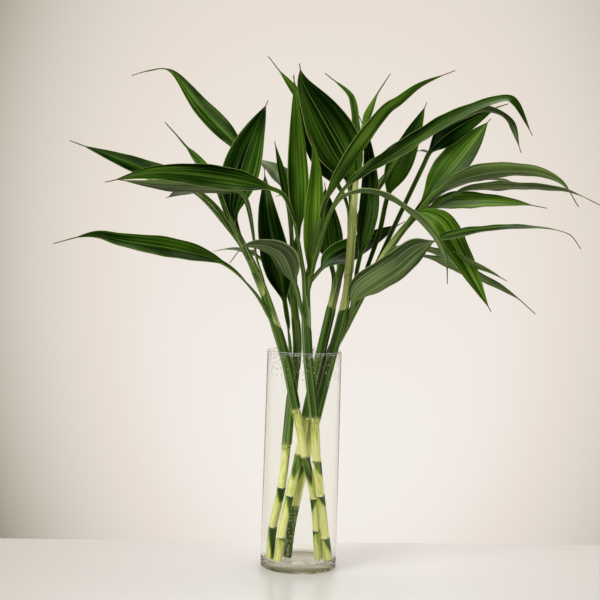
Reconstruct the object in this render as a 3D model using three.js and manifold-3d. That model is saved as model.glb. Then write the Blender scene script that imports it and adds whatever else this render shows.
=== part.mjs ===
// Lucky bamboo: six cut canes of ribbon dracaena, each with a leafy shoot, standing in a tall glass
// cylinder vase. The canes stand on the vase's floor, cross each other half-way up and lean on its
// rim. Millimetres, +Z up, the origin is at the centre of the vase's foot.
import * as THREE from "three";
import { mergeVertices } from "three/addons/utils/BufferGeometryUtils.js";
import Module from "manifold-3d";

const wasm = await Module();
wasm.setup();

// --- Driving dimensions ---------------------------------------------------------------------

const VASE = {
  height: 298,
  rimRadius: 50.5,
  footRadius: 52,
  wall: 3,
  floor: 11, // thickness of the glass at the bottom
  edge: 1.2, // rounding of the rim
  heel: 4, // rounding where the wall meets the foot
  sides: 40,
};
const CLEARANCE = 0.3; // between pieces that touch
const STALK_STEP = 28; // longest distance between two sections of a cane or a sheathed stalk

const CANE = {
  radius: 5.9,
  neck: 5.6, // above a scar
  ring: 0.7, // how far a leaf scar stands proud
  ringHeight: 3,
  sides: 10,
};
const SHEATH = {
  radius: 6.8, // where it grips the cane
  topRadius: 3.2, // where the youngest leaf comes out
  overlap: 12, // length of the cane held inside it
  tip: 16,
  sides: 10,
};
const LEAF = {
  stalkWidth: 5.5, // the narrow channelled base, before the blade widens
  stalkThickness: 2.6,
  ribThickness: 1.3, // of the blade along its middle
  edgeThickness: 0.7,
  tipWidth: 1.2,
  channel: 0.8, // rise of the edges over half the width, in the narrow base
  fold: 0.2, // the same, in the blade
  wave: 1.1, // height of the ripple along the blade's edges
  waveLength: 70,
  opening: 0.16, // share of the blade over which it widens
  threadAt: 0.92, // where the blade has narrowed to its thread-like tip, as a share of the blade
  step: 19, // distance between sections
};

// Each stalk is a cane, ringed by leaf scars at the heights scars, that turns into a leafy shoot at
// the height shootFrom. Its axis and the middle line of each leaf are smooth curves through a few
// points. A leaf starts on the axis at the height from, its blade widens from point bladeAt on, and
// its upper side looks along face, or along tipFace beyond the place where the blade turns over.
// Some leaves have their own opening and threadAt, which are explained at LEAF.
const STALKS = [
  {
    number: 1, // the one that stands behind, left of the middle
    scars: [55, 109],
    shootFrom: 164,
    axis: [[-39, -8, 11], [-36, -6, 55], [-26, -2, 109], [-21, 3, 164], [-17, 7, 222],
    [-10, 12, 297], [-20, 24, 399], [-15, 32, 461]],
    leaves: [
      { from: 267, width: 42, bladeAt: 1, face: [-0.25, -1, 0.15],
        along: [[-20, 0, 298], [-29, -10, 366], [-54, -16, 477], [-63, 2, 548]] },
      { from: 376, width: 30, bladeAt: 1, face: [0, -1, 0.1],
        along: [[-15, 22, 412], [-13, 18, 464], [-19, 6, 576], [-26, 2, 672]] },
      { from: 434, width: 14, bladeAt: 0, face: [0.5, -1, 0.1],
        along: [[-29, 36, 496], [-50, 36, 583]] },
      { from: 417, width: 40, bladeAt: 1, threadAt: 0.93, face: [-0.2, 0.5, 1],
        along: [[-29, 88, 492], [-38, 120, 521], [-48, 150, 544], [-80, 208, 563],
        [-102, 232, 557]] },
      { from: 352, width: 24, bladeAt: 1, face: [-0.1, -0.1, 1],
        along: [[-31, 44, 384], [-73, 98, 422], [-115, 146, 430], [-138, 168, 426]] },
    ],
  },
  {
    number: 2, // the one that stands behind, right of the middle
    scars: [44, 100, 155],
    shootFrom: 203,
    axis: [[-28, -25, 15], [-22, -20, 61], [-4, -8, 151], [4, -5, 203], [31, 9, 337],
    [49, 33, 419], [69, 46, 481]],
    leaves: [
      { from: 370, width: 40, bladeAt: 1, face: [-0.2, -1, 0.1],
        along: [[38, 36, 394], [33, 50, 418], [31, 60, 446], [21, 60, 529]] },
      { from: 453, width: 38, bladeAt: 2, threadAt: 0.94, face: [0.1, -1, 0.15],
        along: [[55, 44, 484], [48, 38, 508], [39, 36, 524], [17, 32, 563], [-18, 31, 637],
        [-27, 30, 672]] },
      { from: 433, width: 32, bladeAt: 2, threadAt: 0.95, face: [-0.2, 0.5, 1],
        along: [[77, 46, 489], [100, 36, 526], [124, 8, 569], [155, -8, 595], [230, -24, 630],
        [262, -38, 616], [279, -46, 573]] },
      { from: 461, width: 32, bladeAt: 1, face: [-0.2, -0.2, 1],
        along: [[77, 66, 498], [121, 136, 556], [156, 182, 582], [181, 222, 582]] },
      { from: 408, width: 34, bladeAt: 1, face: [0.2, -0.2, 1],
        along: [[40, 70, 440], [8, 130, 488], [-28, 184, 514], [-49, 208, 510]] },
    ],
  },
  {
    number: 3, // the upright one with the palest stalk
    scars: [83, 140],
    shootFrom: 202,
    axis: [[-15, 4, 12], [-10, 5, 60], [18, 3, 202], [39, -8, 300], [53, -11, 369], [63, -3, 552]],
    leaves: [
      { from: 369, width: 29, bladeAt: 1, face: [-0.2, -1, 0.1],
        along: [[64, -7, 389], [72, -6, 430], [83, 14, 508], [75, 14, 594], [63, 14, 622]] },
      { from: 505, width: 70, bladeAt: 0, opening: 0.2, threadAt: 0.95, face: [0, -1, 0.1],
        along: [[58, -3, 523], [53, -3, 545], [14, -8, 615], [-13, -15, 660], [-19, -18, 685]] },
      { from: 524, width: 15, bladeAt: 0, threadAt: 0.85, face: [0.6, -1, 0.2],
        along: [[63, 0, 572], [55, 0, 636], [50, -4, 647], [16, -18, 673]] },
      { from: 537, width: 13, bladeAt: 0, threadAt: 0.62, face: [-0.6, -1, 0.2],
        along: [[70, 2, 597], [85, 8, 643], [105, 12, 678]] },
      { from: 488, width: 20, bladeAt: 1, threadAt: 0.8, face: [0.4, -1, 0.3],
        along: [[52, 8, 525], [15, 14, 592], [-5, 17, 626], [-62, 26, 698]] },
    ],
  },
  {
    number: 4, // the one that makes the right half of the fan
    scars: [60, 119],
    shootFrom: 186,
    axis: [[-27, 22, 10], [-19, 21, 74], [7, 20, 186], [24, 20, 249], [38, 9, 299], [55, 4, 334],
    [86, -4, 398], [122, -8, 458], [155, -10, 499]],
    leaves: [
      { from: 338, width: 39, bladeAt: 1, opening: 0.05, threadAt: 0.88, face: [-0.35, 1, 0.3], tipFace: [-0.1, -0.35, 1],
        along: [[63, -20, 356], [63, -32, 366], [71, -40, 380], [117, -58, 416], [152, -72, 446],
        [256, -98, 473], [334, -112, 468], [351, -114, 449]] },
      { from: 355, width: 38, bladeAt: 2, threadAt: 0.93, face: [-0.3, -1, 0.2],
        along: [[75, 4, 395], [97, 16, 462], [110, 44, 515], [162, 86, 647]] },
      { from: 390, width: 34, bladeAt: 2, threadAt: 0.85, face: [0.3, -1, 0.2],
        along: [[113, 6, 463], [153, 14, 553], [163, 20, 574], [188, 30, 600], [252, 25, 637],
        [269, 24, 643]] },
      { from: 422, width: 26, bladeAt: 1, threadAt: 0.93, face: [0, 0.7, 1],
        along: [[114, -14, 439], [150, -34, 441], [237, -74, 416], [261, -84, 404]] },
      { from: 413, width: 27, bladeAt: 1, threadAt: 0.82, face: [0, 0.7, 1],
        along: [[112, -2, 430], [156, 0, 431], [275, -26, 385], [308, -34, 359]] },
      { from: 469, width: 41, bladeAt: 0, threadAt: 0.95, face: [0.3, -0.9, 0.5],
        along: [[145, -24, 489], [171, -44, 481], [194, -58, 446], [244, -70, 362]] },
      { from: 477, width: 66, bladeAt: 0, opening: 0.36, threadAt: 0.95, face: [-0.3, -1, 0.4],
        along: [[154, 4, 503], [205, 54, 568], [253, 88, 627]] },
      { from: 485, width: 36, bladeAt: 0, threadAt: 0.88, face: [-0.1, 0.8, 1],
        along: [[173, -36, 520], [231, -66, 544], [296, -88, 546], [327, -96, 533],
        [348, -102, 503]] },
      { from: 483, width: 28, bladeAt: 0, threadAt: 0.86, face: [0, 0.45, 1],
        along: [[196, -20, 515], [210, -26, 522], [338, -50, 525], [386, -62, 506]] },
      { from: 491, width: 31, bladeAt: 0, opening: 0.12, threadAt: 0.88, face: [0.1, -0.9, 0.7],
        along: [[165, 4, 497], [208, 36, 508], [292, 78, 509], [338, 94, 503]] },
      { from: 496, width: 32, bladeAt: 0, face: [-0.1, -0.1, 1],
        along: [[190, 48, 522], [250, 114, 541], [300, 166, 539], [317, 184, 533]] },
    ],
  },
  {
    number: 5, // the one that makes the left half of the fan
    scars: [53, 98, 155],
    shootFrom: 217,
    axis: [[28, -2, 13], [19, -13, 98], [5, -20, 155], [-9, -24, 217], [-29, -28, 300],
    [-72, -40, 411], [-111, -50, 484]],
    leaves: [
      { from: 343, width: 31, bladeAt: 1, threadAt: 0.86, face: [0, -1, 0.55],
        along: [[-59, -42, 363], [-113, -60, 415], [-246, -78, 442], [-280, -82, 448],
        [-332, -88, 435]] },
      { from: 387, width: 36, bladeAt: 0, threadAt: 0.94, face: [-0.2, 0.8, 1],
        along: [[-88, -50, 505], [-116, -50, 514], [-199, -40, 515], [-257, -30, 522]] },
      { from: 417, width: 31, bladeAt: 2, threadAt: 0.88, face: [0.1, -1, 0.4],
        along: [[-102, -33, 458], [-124, -18, 487], [-152, 6, 509], [-186, 32, 524],
        [-338, 68, 577]] },
      { from: 433, width: 26, bladeAt: 1, face: [0.3, 0.1, 1],
        along: [[-103, -20, 455], [-161, 62, 508], [-189, 118, 507], [-207, 142, 502]] },
      { from: 451, width: 57, bladeAt: 0, opening: 0.22, threadAt: 0.95, face: [0.1, -1, 0.2],
        along: [[-98, -42, 470], [-102, -31, 491], [-86, 12, 570], [-61, 52, 640]] },
      { from: 464, width: 30, bladeAt: 1, threadAt: 0.78, face: [-0.3, -1, 0.4],
        along: [[-100, -10, 500], [-96, 50, 563], [-158, 92, 633], [-205, 108, 683],
        [-235, 111, 681], [-258, 112, 674]] },
      { from: 480, width: 17, bladeAt: 0, threadAt: 0.55, face: [0.2, -1, 0.3],
        along: [[-130, -18, 525], [-170, 12, 571], [-201, 26, 604]] },
    ],
  },
  {
    number: 6, // the one that stands in front
    scars: [45, 104, 151],
    shootFrom: 207,
    axis: [[40, -12, 15], [21, -29, 151], [16, -33, 207], [4, -39, 299], [0, -47, 369],
    [3, -52, 429]],
    leaves: [
      { from: 345, width: 33, bladeAt: 1, opening: 0.12, threadAt: 0.84, face: [-0.2, 0.65, 0.75],
        along: [[-8, -58, 365], [-17, -72, 393], [-35, -98, 432], [-80, -138, 440],
        [-99, -150, 418]] },
      { from: 369, width: 34, bladeAt: 2, threadAt: 0.93, face: [0.05, -1, 0.4],
        along: [[-7, -68, 412], [-33, -100, 504], [-51, -104, 514], [-142, -114, 528],
        [-206, -115, 529], [-264, -112, 516]] },
      { from: 378, width: 30, bladeAt: 0, opening: 0.18, threadAt: 0.95, face: [0.15, -1, 0.1],
        along: [[4, -59, 407], [7, -54, 496], [6, -50, 558], [-1, -46, 588]] },
      { from: 382, width: 26, bladeAt: 0, face: [-0.2, 0.25, 1],
        along: [[32, -104, 492], [48, -114, 508], [88, -124, 511], [152, -127, 470],
        [176, -124, 432], [180, -120, 399]] },
      { from: 389, width: 38, bladeAt: 0, face: [-0.2, -1, 0.5],
        along: [[20, -18, 410], [36, 4, 424], [58, 17, 436], [134, 40, 478]] },
      { from: 407, width: 21, bladeAt: 1, face: [0.5, -0.8, 0.35],
        along: [[8, -62, 443], [22, -74, 506], [94, -86, 620], [111, -88, 633], [138, -92, 654],
        [183, -96, 674]] },
      { from: 396, width: 31, bladeAt: 1, threadAt: 0.97, face: [-0.4, -0.6, 0.65],
        along: [[22, -38, 464], [47, -46, 518], [124, -62, 575], [191, -68, 619], [255, -74, 642],
        [265, -76, 636], [288, -80, 594]] },
    ],
  },
];

// --- Solids ---------------------------------------------------------------------------------

const vector = (point) => new THREE.Vector3(...point);
const clamp = (value) => Math.min(1, Math.max(0, value));
const smooth = (value) => clamp(value) ** 2 * (3 - 2 * clamp(value));

// A manifold-3d solid from a closed three.js geometry.
function solidOf(geometry) {
  geometry.deleteAttribute("normal");
  geometry.deleteAttribute("uv");
  const merged = mergeVertices(geometry, 1e-4);
  const vertProperties = merged.attributes.position.array;
  return new wasm.Manifold(
    new wasm.Mesh({ numProp: 3, vertProperties, triVerts: new Uint32Array(merged.index.array) }),
  );
}

// The three.js mesh of a solid, as one named piece.
function piece(name, solid, material) {
  const { numProp, numVert, vertProperties, triVerts } = solid.getMesh();
  const position = new Float32Array(numVert * 3);
  for (let i = 0; i < numVert; i++)
    position.set(vertProperties.subarray(i * numProp, i * numProp + 3), i * 3);
  const geometry = new THREE.BufferGeometry();
  geometry.setAttribute("position", new THREE.BufferAttribute(position, 3));
  geometry.setIndex(new THREE.BufferAttribute(triVerts, 1));
  geometry.computeVertexNormals();
  const mesh = new THREE.Mesh(geometry, material);
  mesh.name = name;
  return mesh;
}

// A closed skin over rings of equally many points, each ring turning the same way round the path.
// In the columns from turned on, the squares are split along their other diagonal, so that the two
// faces of a thin blade fold alike. hub is the ring's point that the end caps fan out from.
function loft(rings, turned = Infinity, hub = 0) {
  const count = rings[0].length;
  const corner = (ring, side) => ring * count + (side % count);
  const index = [];
  for (let ring = 0; ring < rings.length - 1; ring++)
    for (let side = 0; side < count; side++) {
      const a = corner(ring, side);
      const b = corner(ring, side + 1);
      const c = corner(ring + 1, side + 1);
      const d = corner(ring + 1, side);
      if (side < turned) index.push(a, b, c, a, c, d);
      else index.push(a, b, d, b, c, d);
    }
  for (let side = 1; side < count - 1; side++) {
    index.push(corner(0, hub), corner(0, hub + side + 1), corner(0, hub + side));
    const last = rings.length - 1;
    index.push(corner(last, hub), corner(last, hub + side), corner(last, hub + side + 1));
  }
  const geometry = new THREE.BufferGeometry().setFromPoints(rings.flat());
  geometry.setIndex(index);
  return geometry;
}

// A round rod along a stretch of a curve, through sections of [distance along the curve, radius],
// with more sections between them where they stand far apart.
function rod(curve, sections, sides) {
  const filled = [sections[0]];
  for (const [end, radius] of sections.slice(1)) {
    const [start, before] = filled.at(-1);
    const pieces = Math.ceil((end - start) / STALK_STEP);
    for (let i = 1; i <= pieces; i++)
      filled.push([start + ((end - start) * i) / pieces, before + ((radius - before) * i) / pieces]);
  }
  const length = curve.getLength();
  const rings = filled.map(([distance, radius]) => {
    const centre = curve.getPointAt(clamp(distance / length));
    const along = curve.getTangentAt(clamp(distance / length));
    const across = new THREE.Vector3(0, 1, 0).cross(along).normalize();
    const back = along.clone().cross(across);
    return Array.from({ length: sides }, (_, side) => {
      const angle = (2 * Math.PI * side) / sides;
      return centre
        .clone()
        .addScaledVector(across, radius * Math.cos(angle))
        .addScaledVector(back, radius * Math.sin(angle));
    });
  });
  return solidOf(loft(rings));
}

// How far along a stalk's curve, from its foot, it reaches a height.
function distanceAtHeight(curve, height) {
  let low = 0;
  let high = 1;
  while (high - low > 1e-6) {
    const middle = (low + high) / 2;
    if (curve.getPointAt(middle).z < height) low = middle;
    else high = middle;
  }
  return low * curve.getLength();
}

// --- Vase: one blown glass cylinder, a little wider at the foot, with a thick floor ------------

function vase() {
  const { height, rimRadius, footRadius, wall, floor, edge, heel, sides } = VASE;
  const outer = (level) => footRadius + ((rimRadius - footRadius) * level) / height;
  const profile = new THREE.Path();
  profile.moveTo(0, 0);
  profile.lineTo(footRadius - heel, 0);
  profile.quadraticCurveTo(footRadius, 0, outer(heel), heel);
  profile.lineTo(rimRadius, height - edge);
  profile.quadraticCurveTo(rimRadius, height, rimRadius - edge, height);
  profile.lineTo(rimRadius - wall + edge, height);
  profile.quadraticCurveTo(rimRadius - wall, height, rimRadius - wall, height - edge);
  profile.lineTo(outer(floor + heel) - wall, floor + heel);
  profile.quadraticCurveTo(outer(floor) - wall, floor, outer(floor) - wall - heel, floor);
  profile.lineTo(0, floor);
  const turned = new THREE.LatheGeometry(profile.getPoints(3), sides);
  return solidOf(turned.rotateX(Math.PI / 2));
}

// --- Canes: jointed stems, with a ring left by each leaf that was stripped ----------------------

// The cane stands obliquely, so its cut end rests on the floor with its lower edge.
function stalkCurve({ axis }) {
  const points = axis.map(vector);
  const lean = points[1].clone().sub(points[0]).normalize();
  const lift = VASE.floor + CLEARANCE + CANE.radius * Math.sqrt(1 - lean.z ** 2);
  points[0].addScaledVector(lean, (lift - points[0].z) / lean.z);
  return new THREE.CatmullRomCurve3(points);
}

function cane(curve, scars, shootStart) {
  const { radius, neck, ring, ringHeight, sides } = CANE;
  const end = shootStart + SHEATH.overlap;
  const sections = [[0, radius]];
  for (const scar of scars) {
    const at = distanceAtHeight(curve, scar);
    sections.push([at - ringHeight, radius], [at, radius + ring], [at + ringHeight, neck]);
  }
  sections.push([shootStart, neck], [end - 1, neck], [end, neck - 1]);
  return rod(curve, sections, sides);
}

// --- Shoots: leaf sheaths rolled round each other, each opening into a leaf ---------------------

function sheaths(curve, shootStart, leaves) {
  const { radius, topRadius, overlap, tip, sides } = SHEATH;
  const length = curve.getLength();
  const slimming = (radius - topRadius) / leaves.length;
  const sections = [[shootStart, radius]];
  let now = radius;
  // Each leaf takes its sheath with it, so the stalk steps in above the place where it leaves.
  const places = leaves.map((leaf) => distanceAtHeight(curve, leaf.from)).sort((a, b) => a - b);
  for (const place of places) {
    const at = Math.min(place, length - tip - 2);
    if (at > sections.at(-1)[0] + 4) sections.push([at, now]);
    now -= slimming;
  }
  sections.push([length - tip, topRadius], [length, 1]);
  const socket = [-1, 0, overlap + CLEARANCE].map((depth) => [shootStart + depth, CANE.radius]);
  return rod(curve, sections, sides).subtract(rod(curve, socket, CANE.sides));
}

// The width of a leaf: narrow at its base, widest before the middle, and a thread at its tip.
function leafWidth(t, width, opening, threadAt) {
  const opened = 1 - Math.exp(-((t / opening) ** 1.4));
  const tapered = 1 - clamp(t / threadAt) ** 2.2;
  const blade = ((width - LEAF.stalkWidth) * opened * tapered) / 0.84;
  return LEAF.stalkWidth * (1 - t) + blade + LEAF.tipWidth * t;
}

function leaf(stalkPath, row) {
  const { from, width, bladeAt, face, tipFace, along } = row;
  const { opening = LEAF.opening, threadAt = LEAF.threadAt } = row;
  const rootAt = distanceAtHeight(stalkPath, from) / stalkPath.getLength();
  const root = stalkPath.getPointAt(rootAt);
  const stalkDirection = stalkPath.getTangentAt(rootAt);
  const curve = new THREE.CatmullRomCurve3([root, ...along.map(vector)]);
  const length = curve.getLength();
  const samples = 50 * along.length;
  const bladeStart = curve.getLengths(samples)[50 * (bladeAt + 1)] / length;

  // At its base the upper side faces the stalk that the leaf hugs.
  const first = curve.getTangentAt(0);
  const baseFace = stalkDirection.clone().addScaledVector(first, -stalkDirection.dot(first));
  const bladeFace = vector(face).normalize();
  const endFace = vector(tipFace ?? face).normalize();
  baseFace.normalize();

  const sections = Math.round(length / LEAF.step);
  const rings = [];
  for (let section = 0; section <= sections; section++) {
    const u = section / sections;
    const t = clamp((u - bladeStart) / (1 - bladeStart));
    const centre = curve.getPointAt(u);
    const tangent = curve.getTangentAt(u);
    const turn = smooth(u / (bladeStart + 0.1));
    const facing = baseFace.clone().lerp(bladeFace, turn).lerp(endFace, smooth(5 * t - 1.4));
    const side = tangent.clone().cross(facing).normalize();
    const up = side.clone().cross(tangent);

    const half = leafWidth(t, width, opening, threadAt) / 2;
    const opened = 1 - Math.exp(-t / 0.08);
    const rise = half * (LEAF.channel + (LEAF.fold - LEAF.channel) * opened);
    const ripple = LEAF.wave * opened * (1 - t) * Math.sin((2 * Math.PI * u * length) / LEAF.waveLength);
    const rib = LEAF.stalkThickness + (LEAF.ribThickness - LEAF.stalkThickness) * opened;
    const edge = Math.min(rib, LEAF.edgeThickness + (1 - opened));
    const corner = (across, height) =>
      centre.clone().addScaledVector(side, across).addScaledVector(up, height);
    rings.push([
      corner(-half, rise + ripple),
      corner(0, 0),
      corner(half, rise - ripple),
      corner(half, rise - ripple - edge),
      corner(0, -rib),
      corner(-half, rise + ripple - edge),
    ]);
  }
  return solidOf(loft(rings, 3, 1));
}

function shoot(curve, shootStart, leaves) {
  const blades = leaves.map((one) => leaf(curve, one));
  const joined = blades.reduce(
    (whole, blade) => whole.add(blade),
    sheaths(curve, shootStart, leaves),
  );
  // Only the outer skin is kept, which fills the pockets shut in between the leaves' bases.
  return joined.decompose().sort((a, b) => b.volume() - a.volume())[0];
}

// --- The whole object ---------------------------------------------------------------------------

const glass = new THREE.MeshStandardMaterial({
  color: 0xe6ebe6, roughness: 0.03, metalness: 0, transparent: true, opacity: 0.3,
});
const paleStem = new THREE.MeshStandardMaterial({ color: 0xa3b052, roughness: 0.45, metalness: 0 });
const leafGreen = new THREE.MeshStandardMaterial({ color: 0x1f4d17, roughness: 0.4, metalness: 0 });

const bamboo = new THREE.Group();
bamboo.add(piece("vase", vase(), glass));
for (const stalk of STALKS) {
  const curve = stalkCurve(stalk);
  const shootStart = distanceAtHeight(curve, stalk.shootFrom);
  bamboo.add(piece(`cane_${stalk.number}`, cane(curve, stalk.scars, shootStart), paleStem));
  bamboo.add(piece(`shoot_${stalk.number}`, shoot(curve, shootStart, stalk.leaves), leafGreen));
}

export default bamboo;
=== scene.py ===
"""Lucky bamboo: six jointed canes with leafy shoots, standing in a tall glass cylinder vase."""

import math
import random
from bisect import bisect_right

import bmesh
import bpy
from mathutils import Matrix, Vector, geometry


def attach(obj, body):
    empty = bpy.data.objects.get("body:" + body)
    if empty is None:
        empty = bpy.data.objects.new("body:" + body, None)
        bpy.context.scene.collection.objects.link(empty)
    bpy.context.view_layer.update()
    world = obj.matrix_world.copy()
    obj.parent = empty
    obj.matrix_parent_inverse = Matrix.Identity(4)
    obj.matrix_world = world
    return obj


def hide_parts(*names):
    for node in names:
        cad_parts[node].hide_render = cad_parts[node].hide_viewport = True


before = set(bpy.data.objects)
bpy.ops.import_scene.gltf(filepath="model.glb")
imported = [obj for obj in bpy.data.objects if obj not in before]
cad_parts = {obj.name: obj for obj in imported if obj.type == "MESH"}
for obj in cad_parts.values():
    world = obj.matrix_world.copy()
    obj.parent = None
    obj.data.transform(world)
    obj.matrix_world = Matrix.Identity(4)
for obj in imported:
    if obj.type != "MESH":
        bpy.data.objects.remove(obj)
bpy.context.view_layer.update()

# --- The vase -------------------------------------------------------------------------------------
# One blown cylinder of clear soda glass, a little wider at the foot, with a thick floor and a
# fire-polished rim. It stands on a low ring, and its walls are very slightly uneven.

MM = 0.001
VASE_HEIGHT = 298 * MM
RIM_RADIUS = 50.5 * MM
FOOT_RADIUS = 52 * MM
WALL = 2.2 * MM
GLASS_FLOOR = 11 * MM
STANDING_RING = 43 * MM  # inner radius of the ring that touches the table
RING_SLOPE = 3 * MM  # width of the ring's inner slope
HOLLOW = 1.5 * MM  # depth of the hollow inside the ring
THICK_FOOT = 14 * MM  # height of the glass that shows a tint, with painted shade and a painted highlight in it
TINT_DEPTH = (4 * MM, 0.8 * MM)  # under the skin of the foot, from no tint to all of it
POLISHED = 1.2 * MM  # height of the rim that the flame has rounded
TURNS = 96  # steps of the spin


def shade(code):
    """A colour written as #rrggbb, as the linear values that a shader takes."""
    channels = [int(code[place:place + 2], 16) / 255 for place in (1, 3, 5)]
    return (*(c / 12.92 if c <= 0.04045 else ((c + 0.055) / 1.055) ** 2.4 for c in channels), 1)


def add(material, kind, sockets=(), **settings):
    """A shader node with its settings. A socket takes a constant or another node's output."""
    node = material.node_tree.nodes.new("ShaderNode" + kind)
    for setting, value in settings.items():
        setattr(node, setting, value)
    for socket, value in dict(sockets).items():
        if isinstance(value, bpy.types.NodeSocket):
            material.node_tree.links.new(value, node.inputs[socket])
        else:
            node.inputs[socket].default_value = value
    return node


def between(material, value, low, high, at_low=0.0, at_high=1.0):
    """What goes evenly from at_low to at_high while the value goes from low to high."""
    return add(material, "MapRange", {
        "Value": value, "From Min": low, "From Max": high, "To Min": at_low, "To Max": at_high,
    }).outputs[0]


def ramp(material, value, stops):
    """A colour ramp through stops of (position, #rrggbb)."""
    node = add(material, "ValToRGB", {"Fac": value})
    for position, code in stops[1:-1]:
        node.color_ramp.elements.new(position).color = shade(code)
    for end, (position, code) in ((0, stops[0]), (-1, stops[-1])):
        node.color_ramp.elements[end].position = position
        node.color_ramp.elements[end].color = shade(code)
    return node.outputs["Color"]


def mixed(material, share, first, second, blend="MIX"):
    """Two colours or codes, mixed by a share from 0 to 1."""
    node = add(material, "Mix", {"Factor": share}, data_type="RGBA", blend_type=blend)
    for socket, colour in ((node.inputs[6], first), (node.inputs[7], second)):
        if isinstance(colour, str):
            socket.default_value = shade(colour)
        else:
            material.node_tree.links.new(colour, socket)
    return node.outputs[2]


def finish_of(name, sockets):
    """A new material with one Principled shader."""
    material = bpy.data.materials.new(name)
    material.use_nodes = True
    shader = material.node_tree.nodes["Principled BSDF"]
    for socket, value in sockets.items():
        shader.inputs[socket].default_value = value
    return material, shader


def relief(material, shader, height, strength, distance):
    """Raises a height as bumps on a shader's surface."""
    bumps = add(material, "Bump", {"Height": height, "Strength": strength, "Distance": distance})
    material.node_tree.links.new(bumps.outputs[0], shader.inputs["Normal"])


def object_of(name, mesh_in_hand, materials):
    """The finished object of a bmesh, with its materials in order."""
    mesh = bpy.data.meshes.new(name)
    mesh_in_hand.to_mesh(mesh)
    mesh_in_hand.free()
    for material in materials:
        mesh.materials.append(material)
    finished = bpy.data.objects.new(name, mesh)
    bpy.context.scene.collection.objects.link(finished)
    return finished


def piece_from(name, mesh_in_hand, materials):
    """A smooth piece of the vase or the plant. All of them ride on the one body."""
    piece = object_of(name, mesh_in_hand, materials)
    piece.data.polygons.foreach_set("use_smooth", [True] * len(piece.data.polygons))
    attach(piece, "root")
    return piece


def wall_radius(height):
    """The outer radius, which narrows evenly from the foot to the rim."""
    return FOOT_RADIUS + (RIM_RADIUS - FOOT_RADIUS) * height / VASE_HEIGHT


def blown_cylinder():
    """The glass turned from its half profile, with its foot, rim and floor rounded."""
    hollow_edge, above_foot = STANDING_RING - RING_SLOPE, wall_radius(THICK_FOOT)
    inner_foot, inner_rim = FOOT_RADIUS - WALL, RIM_RADIUS - WALL
    outline = (
        (0, HOLLOW), (hollow_edge, HOLLOW), (STANDING_RING, 0), (FOOT_RADIUS, 0),
        (above_foot, THICK_FOOT), (RIM_RADIUS, VASE_HEIGHT), (inner_rim, VASE_HEIGHT),
        (above_foot - WALL, THICK_FOOT + 3 * MM), (inner_foot, GLASS_FLOOR), (0, GLASS_FLOOR),
    )
    bm = bmesh.new()
    corners = [bm.verts.new((radius, 0, height)) for radius, height in outline]
    profile = [bm.edges.new(pair) for pair in zip(corners, corners[1:])]
    bmesh.ops.spin(bm, geom=corners + profile, axis=(0, 0, 1), angle=math.tau, steps=TURNS,
                   use_merge=True)
    bmesh.ops.remove_doubles(bm, verts=bm.verts, dist=1e-6)
    bmesh.ops.recalc_face_normals(bm, faces=bm.faces)
    roundings = (
        (FOOT_RADIUS, 0, 4 * MM), (inner_foot, GLASS_FLOOR, 5 * MM),
        (RIM_RADIUS, VASE_HEIGHT, 1.3 * MM), (inner_rim, VASE_HEIGHT, 1.3 * MM),
        (STANDING_RING, 0, 1 * MM), (hollow_edge, HOLLOW, 2 * MM),
    )
    for radius, height, width in roundings:
        ring = [edge for edge in bm.edges if all(
            abs(corner.co.z - height) < 1e-5 and abs(corner.co.xy.length - radius) < 1e-5
            for corner in edge.verts)]
        bmesh.ops.bevel(bm, geom=ring, offset=width, segments=5, profile=0.5, affect="EDGES",
                        material=-1)
    for face in bm.faces:
        middle = face.calc_center_median().z
        in_rim, in_foot = middle > VASE_HEIGHT - POLISHED, middle < THICK_FOOT
        face.material_index = 1 if in_rim else 2 if in_foot else 0
    return bm


# Real glass bends light more, by 1.52, which would edge this thin wall in black.
clear_glass, glass_shader = finish_of("clear_glass", {
    "Base Color": shade("#fdfdfb"), "Roughness": 0.0, "IOR": 1.1, "Transmission Weight": 1.0})
place = add(clear_glass, "TexCoord").outputs["Object"]
blown = add(clear_glass, "Mapping", {"Vector": place, "Scale": (22, 22, 9)}).outputs[0]
unevenness = add(clear_glass, "TexNoise", {"Vector": blown, "Scale": 1.0, "Detail": 1.0})
relief(clear_glass, glass_shader, unevenness.outputs[0], 0.15, 0.6 * MM)

foot_glass, foot_shader = finish_of("foot_glass", {
    "Roughness": 0.02, "IOR": 1.16, "Transmission Weight": 1.0})
place = add(foot_glass, "TexCoord").outputs["Object"]
flat = add(foot_glass, "VectorMath", {0: place, 1: (1, 1, 0)}, operation="MULTIPLY").outputs[0]
from_middle = add(foot_glass, "VectorMath", {0: flat}, operation="LENGTH").outputs["Value"]
outside = between(foot_glass, from_middle, *(FOOT_RADIUS - depth for depth in TINT_DEPTH))
height = add(foot_glass, "SeparateXYZ", {0: place}).outputs[2]
# The band up the foot is partly the glass's own tint and partly painted: a dark band of painted
# shade low down and a lighter painted highlight at its very bottom.
foot_tint_and_painted_light = ramp(foot_glass, between(foot_glass, height, 0, THICK_FOOT), (
    (0.0, "#a9a894"), (0.2, "#8d8d76"), (0.42, "#6c6b52"), (0.6, "#b9b8a6"), (1.0, "#f4f4ee")))
foot_glass.node_tree.links.new(mixed(foot_glass, outside, "#fbfbf6", foot_tint_and_painted_light),
                               foot_shader.inputs["Base Color"])
pressed_rings = add(foot_glass, "TexWave", {"Vector": flat, "Scale": 60.0, "Distortion": 0.6},
                    wave_type="RINGS", rings_direction="SPHERICAL")
relief(foot_glass, foot_shader, pressed_rings.outputs["Fac"], 0.5, 0.6 * MM)

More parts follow.
